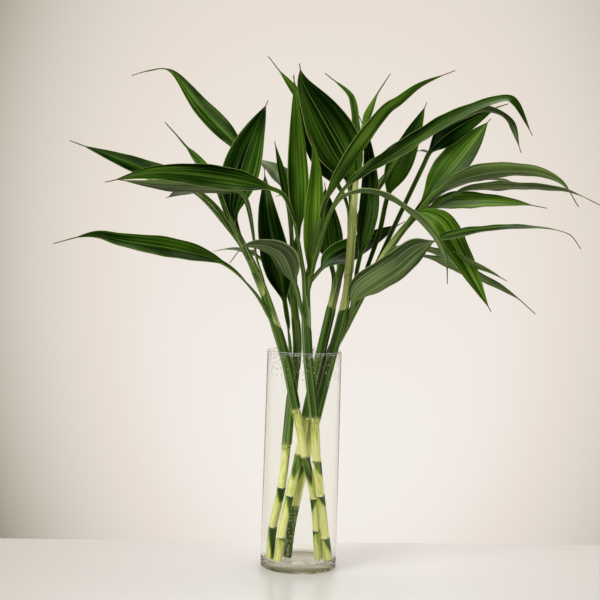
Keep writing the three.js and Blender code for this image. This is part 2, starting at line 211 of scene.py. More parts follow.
# The rim's glass is partly white and matt: a painted highlight along its rounded edge.
rim_with_painted_highlight, rim_shader = finish_of("rim_with_painted_highlight", {
    "Base Color": shade("#f4f6f3"), "Roughness": 0.08, "IOR": 1.4, "Transmission Weight": 0.85})
place = add(rim_with_painted_highlight, "TexCoord").outputs["Object"]
scuffed = add(rim_with_painted_highlight, "Mapping", {"Vector": place, "Scale": (2500, 2500, 870)}).outputs[0]
nicks = add(rim_with_painted_highlight, "TexNoise", {"Vector": scuffed, "Scale": 1.0, "Detail": 2.0})
relief(rim_with_painted_highlight, rim_shader, nicks.outputs[0], 0.4, 0.4 * MM)

vase = piece_from("glass_vase", blown_cylinder(), [clear_glass, rim_with_painted_highlight, foot_glass])
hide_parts("vase")

# --- Drops ----------------------------------------------------------------------------------------
# Fine condensation that clings to the inside of the wall below the rim, where the damp air that
# rises from the cut canes cools on the glass. Each drop is a low bead of water, partly white and
# matt, which paints its glints.

DROPS = 800
DROP_BAND = (252 * MM, 295 * MM)  # heights between which they sit
DROP_SIZES = (0.35, 0.45, 0.6, 0.8)  # radii in millimetres
CROWDING = 2.4  # how strongly they gather under the rim
BEAD = 0.32  # half the thickness of a bead, over its radius
OFF_THE_GLASS = 0.35  # from the glass to the middle of a bead, over its radius

scatter = random.Random(11)
# The beads are partly white and matt: painted glints.
water_with_painted_glints, water_shader = finish_of("water_with_painted_glints", {
    "Base Color": shade("#ffffff"), "Roughness": 0.15, "IOR": 1.33, "Transmission Weight": 0.7})
mist = add(water_with_painted_glints, "TexNoise", {
    "Vector": add(water_with_painted_glints, "TexCoord").outputs["Object"], "Scale": 9000.0})
relief(water_with_painted_glints, water_shader, mist.outputs[0], 0.1, 0.1 * MM)

bm = bmesh.new()
lowest, highest = DROP_BAND
for _ in range(DROPS):
    size = scatter.choice(DROP_SIZES) * MM * scatter.uniform(0.8, 1.3)
    turn = scatter.uniform(0, math.tau)
    height = highest - (highest - lowest) * scatter.random() ** CROWDING
    from_middle = wall_radius(height) - WALL - OFF_THE_GLASS * size
    seat = Matrix.Rotation(turn, 4, "Z") @ Matrix.Translation((from_middle, 0, height))
    bead = Matrix.Diagonal((BEAD * size, size, size * scatter.uniform(1.0, 1.5), 1))
    bmesh.ops.create_icosphere(bm, subdivisions=1, radius=1, matrix=seat @ bead)
drops = piece_from("vase_drops", bm, [water_with_painted_glints])

# --- Stalks: the canes ----------------------------------------------------------------------------
# Each cane is a cut length of ribbon dracaena. A stripped leaf leaves a ring, with a thin pale lip
# and a ragged dark remnant of its sheath. Between two rings the stem is dark green at the top and
# fades to yellow-green at the bottom. The canes stand on the glass and lean on its rim.

# A stalk's axis is a smooth line through its points, in millimetres. scars are the heights of the
# rings. dark tells, from the foot up, how far the dark skin hangs down from each ring as a share of
# the internode, and on which side it hangs lowest, in degrees from the right. Over 1, the whole
# internode is dark. The leaf sheaths begin at the height sheath_from. Each leaf starts on the axis
# at the height start, and its middle line runs through the points along. Its widest place is about
# width across, in millimetres, and the blade widens from point blade_at on. Its upper side looks
# along face, or along tip_face past the place where it turns. Some leaves have their own opening
# and thread_at, which are explained where the leaves are made. tone goes from 0, the darkest leaf,
# to 1, the lightest and yellowest; it is partly the leaf's age, old and dark to young and yellow,
# and partly painted light, set to how lit each leaf looks. bares is the length of pale young sheath
# that a leaf has left bare above it.

STALKS = [
    dict(  # the one that stands behind, left of the middle
        number=1,
        scars=[55, 109],
        dark=[(0.8, 318), (0.45, 300)],
        sheath_from=164,
        axis=[[-39, -8, 11], [-36, -6, 55], [-26, -2, 109], [-21, 3, 164], [-17, 7, 222],
              [-10, 12, 297], [-20, 24, 399], [-15, 32, 461]],
        leaves=[
            dict(start=267, width=42, blade_at=1, tone=0.1, face=[-0.25, -1, 0.15],
                 along=[[-20, 0, 298], [-29, -10, 366], [-54, -16, 477], [-63, 2, 548]]),
            dict(start=376, width=30, blade_at=1, tone=0.7, face=[0, -1, 0.1],
                 along=[[-15, 22, 412], [-13, 18, 464], [-19, 6, 576], [-26, 2, 672]]),
            dict(start=434, width=14, blade_at=0, tone=0.5, face=[0.5, -1, 0.1],
                 along=[[-29, 36, 496], [-50, 36, 583]]),
            dict(start=417, width=40, blade_at=1, thread_at=0.93, tone=0.4, face=[-0.2, 0.5, 1],
                 along=[[-29, 88, 492], [-38, 120, 521], [-48, 150, 544], [-80, 208, 563],
                        [-102, 232, 557]]),
            dict(start=352, width=24, blade_at=1, tone=0.3, face=[-0.1, -0.1, 1],
                 along=[[-31, 44, 384], [-73, 98, 422], [-115, 146, 430], [-138, 168, 426]]),
        ],
    ),
    dict(  # the one that stands behind, right of the middle
        number=2,
        scars=[44, 100, 155],
        dark=[(0.15, 0), (0.5, 330), (0.7, 250)],
        sheath_from=203,
        axis=[[-28, -25, 15], [-22, -20, 61], [-4, -8, 151], [4, -5, 203], [31, 9, 337],
              [49, 33, 419], [69, 46, 481]],
        leaves=[
            dict(start=370, width=40, blade_at=1, tone=0.1, bares=16, face=[-0.2, -1, 0.1],
                 along=[[38, 36, 394], [33, 50, 418], [31, 60, 446], [21, 60, 529]]),
            dict(start=453, width=38, blade_at=2, thread_at=0.94, tone=0.1, face=[0.1, -1, 0.15],
                 along=[[55, 44, 484], [48, 38, 508], [39, 36, 524], [17, 32, 563], [-18, 31, 637],
                        [-27, 30, 672]]),
            dict(start=433, width=32, blade_at=2, thread_at=0.95, tone=0.3, face=[-0.2, 0.5, 1],
                 along=[[77, 46, 489], [100, 36, 526], [124, 8, 569], [155, -8, 595],
                        [230, -24, 630], [262, -38, 616], [279, -46, 573]]),
            dict(start=461, width=32, blade_at=1, tone=0.1, face=[-0.2, -0.2, 1],
                 along=[[77, 66, 498], [121, 136, 556], [156, 182, 582], [181, 222, 582]]),
            dict(start=408, width=34, blade_at=1, tone=0.1, face=[0.2, -0.2, 1],
                 along=[[40, 70, 440], [8, 130, 488], [-28, 184, 514], [-49, 208, 510]]),
        ],
    ),
    dict(  # the upright one with the palest stalk
        number=3,
        scars=[83, 140],
        dark=[(1.5, 0), (0.6, 190)],
        sheath_from=202,
        axis=[[-15, 4, 12], [-10, 5, 60], [18, 3, 202], [39, -8, 300], [53, -11, 369],
              [63, -3, 552]],
        leaves=[
            dict(start=369, width=29, blade_at=1, tone=0.1, bares=230, face=[-0.2, -1, 0.1],
                 along=[[64, -7, 389], [72, -6, 430], [83, 14, 508], [75, 14, 594], [63, 14, 622]]),
            dict(start=505, width=70, blade_at=0, opening=0.2, thread_at=0.95, tone=0.2, bares=60,
                 face=[0, -1, 0.1],
                 along=[[58, -3, 523], [53, -3, 545], [14, -8, 615], [-13, -15, 660],
                        [-19, -18, 685]]),
            dict(start=524, width=15, blade_at=0, thread_at=0.85, tone=0.95, bares=30,
                 face=[0.6, -1, 0.2],
                 along=[[63, 0, 572], [55, 0, 636], [50, -4, 647], [16, -18, 673]]),
            dict(start=537, width=13, blade_at=0, thread_at=0.62, tone=0.95, face=[-0.6, -1, 0.2],
                 along=[[70, 2, 597], [85, 8, 643], [105, 12, 678]]),
            dict(start=488, width=20, blade_at=1, thread_at=0.8, tone=0.5, face=[0.4, -1, 0.3],
                 along=[[52, 8, 525], [15, 14, 592], [-5, 17, 626], [-62, 26, 698]]),
        ],
    ),
    dict(  # the one that makes the right half of the fan
        number=4,
        scars=[60, 119],
        dark=[(0.6, 180), (0.6, 270)],
        sheath_from=186,
        axis=[[-27, 22, 10], [-19, 21, 74], [7, 20, 186], [24, 20, 249], [38, 9, 299],
              [55, 4, 334], [86, -4, 398], [122, -8, 458], [155, -10, 499]],
        leaves=[
            dict(start=338, width=39, blade_at=1, opening=0.05, thread_at=0.88, tone=0.3,
                 face=[-0.35, 1, 0.3], tip_face=[-0.1, -0.35, 1],
                 along=[[63, -20, 356], [63, -32, 366], [71, -40, 380], [117, -58, 416],
                        [152, -72, 446], [256, -98, 473], [334, -112, 468], [351, -114, 449]]),
            dict(start=355, width=38, blade_at=2, thread_at=0.93, tone=0.25, face=[-0.3, -1, 0.2],
                 along=[[75, 4, 395], [97, 16, 462], [110, 44, 515], [162, 86, 647]]),
            dict(start=390, width=34, blade_at=2, thread_at=0.85, tone=0, face=[0.3, -1, 0.2],
                 along=[[113, 6, 463], [153, 14, 553], [163, 20, 574], [188, 30, 600],
                        [252, 25, 637], [269, 24, 643]]),
            dict(start=422, width=26, blade_at=1, thread_at=0.93, tone=0.45, bares=45,
                 face=[0, 0.7, 1],
                 along=[[114, -14, 439], [150, -34, 441], [237, -74, 416], [261, -84, 404]]),
            dict(start=413, width=27, blade_at=1, thread_at=0.82, tone=0.45, face=[0, 0.7, 1],
                 along=[[112, -2, 430], [156, 0, 431], [275, -26, 385], [308, -34, 359]]),
            dict(start=469, width=41, blade_at=0, thread_at=0.95, tone=1, face=[0.3, -0.9, 0.5],
                 along=[[145, -24, 489], [171, -44, 481], [194, -58, 446], [244, -70, 362]]),
            dict(start=477, width=66, blade_at=0, opening=0.36, thread_at=0.95, tone=0.6,
                 face=[-0.3, -1, 0.4],
                 along=[[154, 4, 503], [205, 54, 568], [253, 88, 627]]),
            dict(start=485, width=36, blade_at=0, thread_at=0.88, tone=0.55, face=[-0.1, 0.8, 1],
                 along=[[173, -36, 520], [231, -66, 544], [296, -88, 546], [327, -96, 533],
                        [348, -102, 503]]),
            dict(start=483, width=28, blade_at=0, thread_at=0.86, tone=0.25, face=[0, 0.45, 1],
                 along=[[196, -20, 515], [210, -26, 522], [338, -50, 525], [386, -62, 506]]),
            dict(start=491, width=31, blade_at=0, opening=0.12, thread_at=0.88, tone=0.75,
                 face=[0.1, -0.9, 0.7],
                 along=[[165, 4, 497], [208, 36, 508], [292, 78, 509], [338, 94, 503]]),
            dict(start=496, width=32, blade_at=0, tone=0.1, face=[-0.1, -0.1, 1],
                 along=[[190, 48, 522], [250, 114, 541], [300, 166, 539], [317, 184, 533]]),
        ],
    ),
    dict(  # the one that makes the left half of the fan
        number=5,
        scars=[53, 98, 155],
        dark=[(0.15, 180), (0.5, 200), (0.8, 260)],
        sheath_from=217,
        axis=[[28, -2, 13], [19, -13, 98], [5, -20, 155], [-9, -24, 217], [-29, -28, 300],
              [-72, -40, 411], [-111, -50, 484]],
        leaves=[
            dict(start=343, width=31, blade_at=1, thread_at=0.86, tone=0.25, bares=8,
                 face=[0, -1, 0.55],
                 along=[[-59, -42, 363], [-113, -60, 415], [-246, -78, 442], [-280, -82, 448],
                        [-332, -88, 435]]),
            dict(start=387, width=36, blade_at=0, thread_at=0.94, tone=0.2, bares=10,
                 face=[-0.2, 0.8, 1],
                 along=[[-88, -50, 505], [-116, -50, 514], [-199, -40, 515], [-257, -30, 522]]),
            dict(start=417, width=31, blade_at=2, thread_at=0.88, tone=0.1, face=[0.1, -1, 0.4],
                 along=[[-102, -33, 458], [-124, -18, 487], [-152, 6, 509], [-186, 32, 524],
                        [-338, 68, 577]]),
            dict(start=433, width=26, blade_at=1, tone=0.2, face=[0.3, 0.1, 1],
                 along=[[-103, -20, 455], [-161, 62, 508], [-189, 118, 507], [-207, 142, 502]]),
            dict(start=451, width=57, blade_at=0, opening=0.22, thread_at=0.95, tone=0.05,
                 face=[0.1, -1, 0.2],
                 along=[[-98, -42, 470], [-102, -31, 491], [-86, 12, 570], [-61, 52, 640]]),
            dict(start=464, width=30, blade_at=1, thread_at=0.78, tone=0.3, face=[-0.3, -1, 0.4],
                 along=[[-100, -10, 500], [-96, 50, 563], [-158, 92, 633], [-205, 108, 683],
                        [-235, 111, 681], [-258, 112, 674]]),
            dict(start=480, width=17, blade_at=0, thread_at=0.55, tone=0.4, face=[0.2, -1, 0.3],
                 along=[[-130, -18, 525], [-170, 12, 571], [-201, 26, 604]]),
        ],
    ),
    dict(  # the one that stands in front
        number=6,
        scars=[45, 104, 151],
        dark=[(0.5, 350), (0.35, 340), (0.5, 320)],
        sheath_from=207,
        axis=[[40, -12, 15], [21, -29, 151], [16, -33, 207], [4, -39, 299], [0, -47, 369],
              [3, -52, 429]],
        leaves=[
            dict(start=345, width=33, blade_at=1, opening=0.12, thread_at=0.84, tone=0.1,
                 face=[-0.2, 0.65, 0.75],
                 along=[[-8, -58, 365], [-17, -72, 393], [-35, -98, 432], [-80, -138, 440],
                        [-99, -150, 418]]),
            dict(start=369, width=34, blade_at=2, thread_at=0.93, tone=0.2, face=[0.05, -1, 0.4],
                 along=[[-7, -68, 412], [-33, -100, 504], [-51, -104, 514], [-142, -114, 528],
                        [-206, -115, 529], [-264, -112, 516]]),
            dict(start=378, width=30, blade_at=0, opening=0.18, thread_at=0.95, tone=1,
                 face=[0.15, -1, 0.1],
                 along=[[4, -59, 407], [7, -54, 496], [6, -50, 558], [-1, -46, 588]]),
            dict(start=382, width=26, blade_at=0, tone=0.35, face=[-0.2, 0.25, 1],
                 along=[[32, -104, 492], [48, -114, 508], [88, -124, 511], [152, -127, 470],
                        [176, -124, 432], [180, -120, 399]]),
            dict(start=389, width=38, blade_at=0, tone=0.1, face=[-0.2, -1, 0.5],
                 along=[[20, -18, 410], [36, 4, 424], [58, 17, 436], [134, 40, 478]]),
            dict(start=407, width=21, blade_at=1, tone=0.5, face=[0.5, -0.8, 0.35],
                 along=[[8, -62, 443], [22, -74, 506], [94, -86, 620], [111, -88, 633],
                        [138, -92, 654], [183, -96, 674]]),
            dict(start=396, width=31, blade_at=1, thread_at=0.97, tone=0.25,
                 face=[-0.4, -0.6, 0.65],
                 along=[[22, -38, 464], [47, -46, 518], [124, -62, 575], [191, -68, 619],
                        [255, -74, 642], [265, -76, 636], [288, -80, 594]]),
        ],
    ),
]

CANE_RADIUS = 5.9 * MM
CANE_NECK = 5.6 * MM  # just above a ring
CANE_STEP = 1.2 * MM  # between two sections
CANE_SIDES = 28
GRIP = 12 * MM  # length of the cane inside its sheaths
CLEARANCE = 0.3 * MM  # above the glass floor
CUT_BELOW = 25 * MM  # how far under the cut end the lowest internode would begin
HIDDEN_END = 20 * MM  # how far past its grip the top internode would run
YOUNG_SKIN = (0.02, 0)  # next to no dark skin, above the highest ring
TONGUE = 1.5  # how narrow the tongue of dark skin is that hangs from a ring
FRAYED = 0.35  # share of the tongue over which it fades out
DARKEST = 0.94  # how green the tongue is
GREENED = 0.35  # how green the rest gets towards the next ring
RING_BAND = 3 * MM  # on each side of a ring, filled by its lip
RING_LIP = (  # height over the ring and swelling, in millimetres, and how pale it is
    (-2.6, 0.05, 0), (-1.6, 0.3, 0.15), (-0.7, 0.6, 0.6), (-0.1, 0.75, 1), (0.4, 0.3, 1),
    (0.8, -0.2, 0.5), (2, -0.3, 0))
SPAN_POINTS = 51  # on the line between two of its own points
PER_METRE = 10  # of length along a stem or leaf, in its UV map


def in_metres(point):
    return Vector(point) * MM


def smooth(value):
    """From 0 to 1 with an even start and an even end."""
    value = min(1, max(0, value))
    return value * value * (3 - 2 * value)


class Line:
    """A smooth line through a few points, which is read by the distance along it. It is the same
    centripetal spline that the solids follow. knots are the distances of the points."""

    def __init__(self, points):
        before, after = 2 * points[0] - points[1], 2 * points[-1] - points[-2]
        stops = [before, *points, after]
        self.points = []
        self.knots = [0]
        for a, b, c, d in zip(stops, stops[1:], stops[2:], stops[3:]):
            first, middle, last = ((q - p).length ** 0.5 for p, q in ((a, b), (b, c), (c, d)))
            leave = (b - a) / first - (c - a) / (first + middle) + (c - b) / middle
            arrive = (c - b) / middle - (d - b) / (middle + last) + (d - c) / last
            third = middle / 3
            span = geometry.interpolate_bezier(b, b + leave * third, c - arrive * third, c,
                                               SPAN_POINTS)
            self.points += span[1:] if self.points else span
            self.knots.append(len(self.points) - 1)
        self.distances = [0.0]
        for p, q in zip(self.points, self.points[1:]):
            self.distances.append(self.distances[-1] + (q - p).length)
        self.knots = [self.distances[knot] for knot in self.knots]
        self.length = self.distances[-1]

    def point(self, distance):
        """The point at a distance; past an end the line runs on straight."""
        span = min(len(self.points) - 2, max(0, bisect_right(self.distances, distance) - 1))
        start, end = self.distances[span], self.distances[span + 1]
        return self.points[span].lerp(self.points[span + 1], (distance - start) / (end - start))

    def direction(self, distance):
        """Which way the line runs, taken over 3 mm."""
        step = 1.5 * MM
        distance = min(self.length, max(0, distance))
        return (self.point(distance + step) - self.point(distance - step)).normalized()

    def distance_at(self, height):
        """How far along the line, from its foot, it reaches a height."""
        low, high = 0.0, self.length
        while high - low > 1e-6:
            middle = (low + high) / 2
            low, high = (middle, high) if self.point(middle).z < height else (low, middle)
        return low


def stalk_line(axis):
    """The cut end stands obliquely on the glass, so its lower edge meets the floor."""
    points = [in_metres(point) for point in axis]
    lean = (points[1] - points[0]).normalized()
    lift = GLASS_FLOOR + CLEARANCE + CANE_RADIUS * math.sqrt(1 - lean.z ** 2)
    points[0] += lean * ((lift - points[0].z) / lean.z)
    return Line(points)


def rolled_tube(line, sections, sides, marks):
    """A tube round a line through sections of (distance, radius, one value for each mark). A value
    may depend on the angle round the line, which starts on the right."""
    bm = bmesh.new()
    round_and_along = bm.loops.layers.uv.new("round_and_along")
    layers = [bm.verts.layers.float.new(mark) for mark in marks]
    spans = len(sections) - 1
    bmesh.ops.create_grid(bm, x_segments=sides, y_segments=spans, size=0.5)
    for face in bm.faces:
        for loop in face.loops:
            distance = sections[round((loop.vert.co.y + 0.5) * spans)][0]
            loop[round_and_along].uv = (loop.vert.co.x + 0.5, distance * PER_METRE)
    for corner in bm.verts:
        angle = math.tau * (corner.co.x + 0.5)
        distance, radius, *values = sections[round((corner.co.y + 0.5) * spans)]
        along = line.direction(distance)
        side = Vector((0, 1, 0)).cross(along).normalized()
        back = along.cross(side)
        for layer, value in zip(layers, values):
            corner[layer] = value(angle) if callable(value) else value
        outward = math.cos(angle) * side + math.sin(angle) * back
        corner.co = line.point(distance) + radius * outward
    bmesh.ops.remove_doubles(bm, verts=bm.verts, dist=1e-7)
    bmesh.ops.holes_fill(bm, edges=[edge for edge in bm.edges if edge.is_boundary], sides=sides)
    bmesh.ops.recalc_face_normals(bm, faces=bm.faces)
    return bm


def cane(line, scars, dark, sheath_start):
    """A stem with its rings. green is 1 where the skin is dark, and lip is 1 on a ring's edge."""
    rings = [line.distance_at(scar * MM) for scar in scars]
    end = sheath_start + GRIP
    nodes = [-CUT_BELOW, *rings, sheath_start, end + HIDDEN_END]

    def dark_skin(internode, share):
        """The dark skin hangs from the ring above, furthest down on one side of the stem."""
        reach, side = dark[internode] if internode < len(dark) else YOUNG_SKIN
        if reach > 1:
            return 1.0

        def green(angle):
            hang = reach * (0.5 + 0.5 * math.cos(angle - math.radians(side))) ** TONGUE
            tongue = smooth((share - 1 + hang) / (FRAYED * reach))
            return max(GREENED * share ** 2, DARKEST * tongue)
        return green

    sections = []
    for count in range(int(end / CANE_STEP) + 1):
        distance = count * CANE_STEP
        internode = sum(node <= distance for node in nodes) - 1
        above, below = nodes[internode:internode + 2]
        share = (distance - above) / (below - above)
        if all(abs(distance - ring) > RING_BAND for ring in rings):
            radius = CANE_NECK + (CANE_RADIUS - CANE_NECK) * share
            sections.append((distance, radius, dark_skin(internode, share), 0))
    for count, ring in enumerate(rings):
        for offset, proud, pale in RING_LIP:
            skin = dark_skin(count, 1) if offset < 0 else 0
            sections.append((ring + offset * MM, CANE_RADIUS + proud * MM, skin, pale))
    sections.sort(key=lambda section: section[0])
    return rolled_tube(line, sections, CANE_SIDES, ("green", "lip"))


def reckon(material, operation, *values, clamp=False):
    """A sum, product or other result of numbers and node outputs."""
    node = add(material, "Math", enumerate(values), operation=operation, use_clamp=clamp)
    return node.outputs[0]


def carried(material, name):
    """A value that the mesh carries at its corners."""
    return add(material, "Attribute", attribute_name=name).outputs["Fac"]


def streaks(material, uv, scale, detail=3.0):
    """Noise drawn out along the stem or leaf, by the piece's own UV map."""
    drawn = add(material, "Mapping", {"Vector": uv, "Scale": (*scale, 1)}).outputs[0]
    noise = add(material, "TexNoise", {
        "Vector": drawn, "Scale": 1.0, "Detail": detail, "Roughness": 0.6})
    return noise.outputs["Fac"]


stem_skin, stem_shader = finish_of("stem_skin", {
    "Roughness": 0.34, "Specular IOR Level": 0.4, "Coat Weight": 0.1, "Coat Roughness": 0.3})
uv = add(stem_skin, "UVMap", uv_map="round_and_along").outputs[0]
green, lip = carried(stem_skin, "green"), carried(stem_skin, "lip")
mottle = streaks(stem_skin, uv, (9, 2.5))
fibres = streaks(stem_skin, uv, (48, 1.6), detail=2.0)
blotches = reckon(stem_skin, "MULTIPLY", reckon(stem_skin, "ADD", mottle, -0.55), 1.8)
skin = ramp(stem_skin, reckon(stem_skin, "ADD", green, blotches), (
    (0.0, "#d3d49a"), (0.12, "#bac274"), (0.36, "#8fa04a"), (0.66, "#5f7a2d"), (0.85, "#3b561a"),
    (1.0, "#2c3c18")))
skin = mixed(stem_skin, 0.5, skin, ramp(stem_skin, fibres, ((0.3, "#5e6c3c"), (0.7, "#e6e8c8"))),
             "SOFT_LIGHT")
bark_pores = add(stem_skin, "TexNoise", {
    "Vector": add(stem_skin, "TexCoord").outputs["Object"], "Scale": 420.0, "Detail": 1.0})
pores = between(stem_skin, bark_pores.outputs["Fac"], 0.54, 0.62)
old_skin = between(stem_skin, green, 0.96, 1.0)
skin = mixed(stem_skin, reckon(stem_skin, "MULTIPLY", pores, old_skin), skin, "#9aa377")
skin = mixed(stem_skin, lip, skin, ramp(stem_skin, mottle, (
    (0.4, "#7d7c4c"), (0.5, "#b4b681"), (0.62, "#dadbb4"))))
stem_skin.node_tree.links.new(skin, stem_shader.inputs["Base Color"])
relief(stem_skin, stem_shader, fibres, 0.35, 0.3 * MM)

for stalk in STALKS:
    line = stalk["line"] = stalk_line(stalk["axis"])
    stalk["sheath_start"] = line.distance_at(stalk["sheath_from"] * MM)
    grown = cane(line, stalk["scars"], stalk["dark"], stalk["sheath_start"])
    stem = piece_from(f"stem_{stalk['number']}", grown, [stem_skin])
    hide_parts(f"cane_{stalk['number']}")

# --- Shoots: the rolled stalk ---------------------------------------------------------------------
# Above the cane the stem is hidden by leaf sheaths that are rolled round each other. It slims as
# each leaf leaves, shows pale young tissue there, and ends in a rolled spear.

SHEATH_RADIUS = 6.8 * MM  # where it grips the cane
SPEAR_RADIUS = 3.2 * MM  # where the youngest leaf comes out
SPEAR_LENGTH = 16 * MM
SPEAR_TAPER = 0.75  # share of its radius that the spear loses
SLIMMING = 9 * MM  # length over which the stalk slims at a leaf
CORE_START = 4 * MM  # above the foot of the sheaths
CORE_STEP = 2.5 * MM  # between two sections
CORE_SIDES = 24
CORE_INSET = 0.75 * MM  # under the outermost sheath, which is part of its leaf
BARED_BELOW = 24 * MM  # how far under a leaf's start the open back of its sheath shows pale tissue


def pale_share(leaf, above):
    """How pale the tissue is, at a distance above the place where a leaf leaves."""
    bares = leaf.get("bares", 0) * MM
    if not bares or above <= -BARED_BELOW:
        return 0
    return smooth(1.2 - (above + BARED_BELOW) / (bares + BARED_BELOW))


def departures(stalk):
    """Each leaf of a stalk with the distance where it leaves and the stalk's radius there."""
    line = stalk["line"]
    slimming = (SHEATH_RADIUS - SPEAR_RADIUS) / len(stalk["leaves"])
    ordered = sorted(stalk["leaves"], key=lambda leaf: leaf["start"])
    for count, leaf in enumerate(ordered):
        yield leaf, line.distance_at(leaf["start"] * MM), SHEATH_RADIUS - count * slimming


def rolled_stalk(stalk):
    """The roll from the foot of the sheaths to the spear. pale is 1 on young tissue."""
    line, start = stalk["line"], stalk["sheath_start"]
    steps = [(leaf, distance) for leaf, distance, _ in departures(stalk)]
    slimming = (SHEATH_RADIUS - SPEAR_RADIUS) / len(steps)
    spear_start = line.length - SPEAR_LENGTH
    sections = []
    for count in range(int((line.length - start) / CORE_STEP) + 1):
        distance = start + CORE_START + count * CORE_STEP
        radius, pale = SHEATH_RADIUS, 0.0
        for leaf, place in steps:
            above = distance - place
            radius -= slimming * smooth(above / SLIMMING + 0.5)
            pale = max(pale, pale_share(leaf, above))
        if distance > spear_start:
            radius *= 1 - SPEAR_TAPER * (distance - spear_start) / SPEAR_LENGTH
        sections.append((distance, radius - CORE_INSET, pale))
    return rolled_tube(line, sections, CORE_SIDES, ("pale",))


sheath_skin, sheath_shader = finish_of("sheath_skin", {
    "Roughness": 0.45, "Specular IOR Level": 0.4})
uv = add(sheath_skin, "UVMap", uv_map="round_and_along").outputs[0]
ribs = streaks(sheath_skin, uv, (26, 1.2))
bands = streaks(sheath_skin, uv, (3, 1.5), detail=1.0)
skin = ramp(sheath_skin, ribs, ((0.3, "#2a4517"), (0.5, "#4d6b2d"), (0.68, "#9aac74")))
skin = mixed(sheath_skin, 0.7, skin, ramp(sheath_skin, bands, (
    (0.35, "#3a3f30"), (0.65, "#d2d8b4"))), "SOFT_LIGHT")
ragged = reckon(sheath_skin, "ADD", carried(sheath_skin, "pale"),
                reckon(sheath_skin, "ADD", ribs, -0.5), clamp=True)
skin = mixed(sheath_skin, ragged, skin, ramp(sheath_skin, ribs, (
    (0.3, "#8a9a3e"), (0.5, "#aeb562"), (0.7, "#d0d3a0"))))
sheath_skin.node_tree.links.new(skin, sheath_shader.inputs["Base Color"])
relief(sheath_skin, sheath_shader, ribs, 0.4, 0.3 * MM)

for stalk in STALKS:
    core = piece_from(f"rolled_stalk_{stalk['number']}", rolled_stalk(stalk), [sheath_skin])
    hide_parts(f"shoot_{stalk['number']}")

# --- Shoots: the leaves ---------------------------------------------------------------------------
# A leaf grips the stalk with a rolled sheath, narrows to a channelled stalk of its own, and widens
# to a lance-shaped blade with parallel veins, waved edges and a long drip tip. The upper side is
# dark and glossy, the underside grey-green and matt, and the edge is a thin pale line of painted
# rim light.

LEAF_THICKNESS = 0.6 * MM
LEAF_COLUMNS = 16
LEAF_STEP = 3.2 * MM  # between two rows along the leaf
HUG_INSET = 0.55 * MM  # of the rolled sheath under the stalk's own radius
LOWEST_FOOT = 1 * MM  # above the foot of all sheaths
GRIP_LENGTH = 85 * MM  # of the rolled sheath, except the oldest leaf's
LEAN_LENGTH = 45 * MM  # over which the leaf's own stalk leans away
ROLL_OPENS = (22 * MM, 34 * MM)  # how far under the leaf's start, and over what length
FULL_RING = 0.98 * math.pi  # half the angle that the roll goes round
PETIOLE_WIDTH = 5.5 * MM
TIP_WIDTH = 0.7 * MM
OPENING = 0.16  # share of the blade over which it widens
THREAD_AT = 0.92  # where the blade has narrowed to its thread-like tip, as a share of the blade
FULLNESS = 0.84  # peak of the blade's outline before it is scaled to its width
DRY_FROM = 0.05  # share of the blade over which it dries before its thread
CHANNEL = 0.8  # rise of the edges over half the width, in the narrow base
FOLD = 0.2  # the same, in the blade
FLATTENS = 0.08  # share of the blade over which the channel becomes the fold
CREASE = 0.45  # how sharply the blade folds at its midrib
WAVE = 1.1 * MM
WAVE_LENGTH = 70 * MM
EDGE_WAVE = 0.9 * MM
EDGE_WAVE_LENGTHS = (34 * MM, 41 * MM)  # of the left and the right edge
TORN_SLANT = 4.8 * MM  # of the sheath's ragged foot
TORN_NICKS = 0.96 * MM
TORN_REACH = 20 * MM
YOUNG_FOOT = 4 * MM  # pale foot of the oldest leaf's sheath
BROADEST = 25 * MM  # half the width at which the pleats are deepest
LEAF_GRAIN = random.Random(4)


def blade_width(t, leaf):
    """Narrow at its base, widest before the middle, and a dry thread at its tip."""
    opened = 1 - math.exp(-(t / leaf.get("opening", OPENING)) ** 1.4)
    tapered = 1 - min(1, t / leaf.get("thread_at", THREAD_AT)) ** 2.2
    blade = (leaf["width"] * MM - PETIOLE_WIDTH) * opened * tapered / FULLNESS
    return PETIOLE_WIDTH * (1 - t) + blade + TIP_WIDTH * t


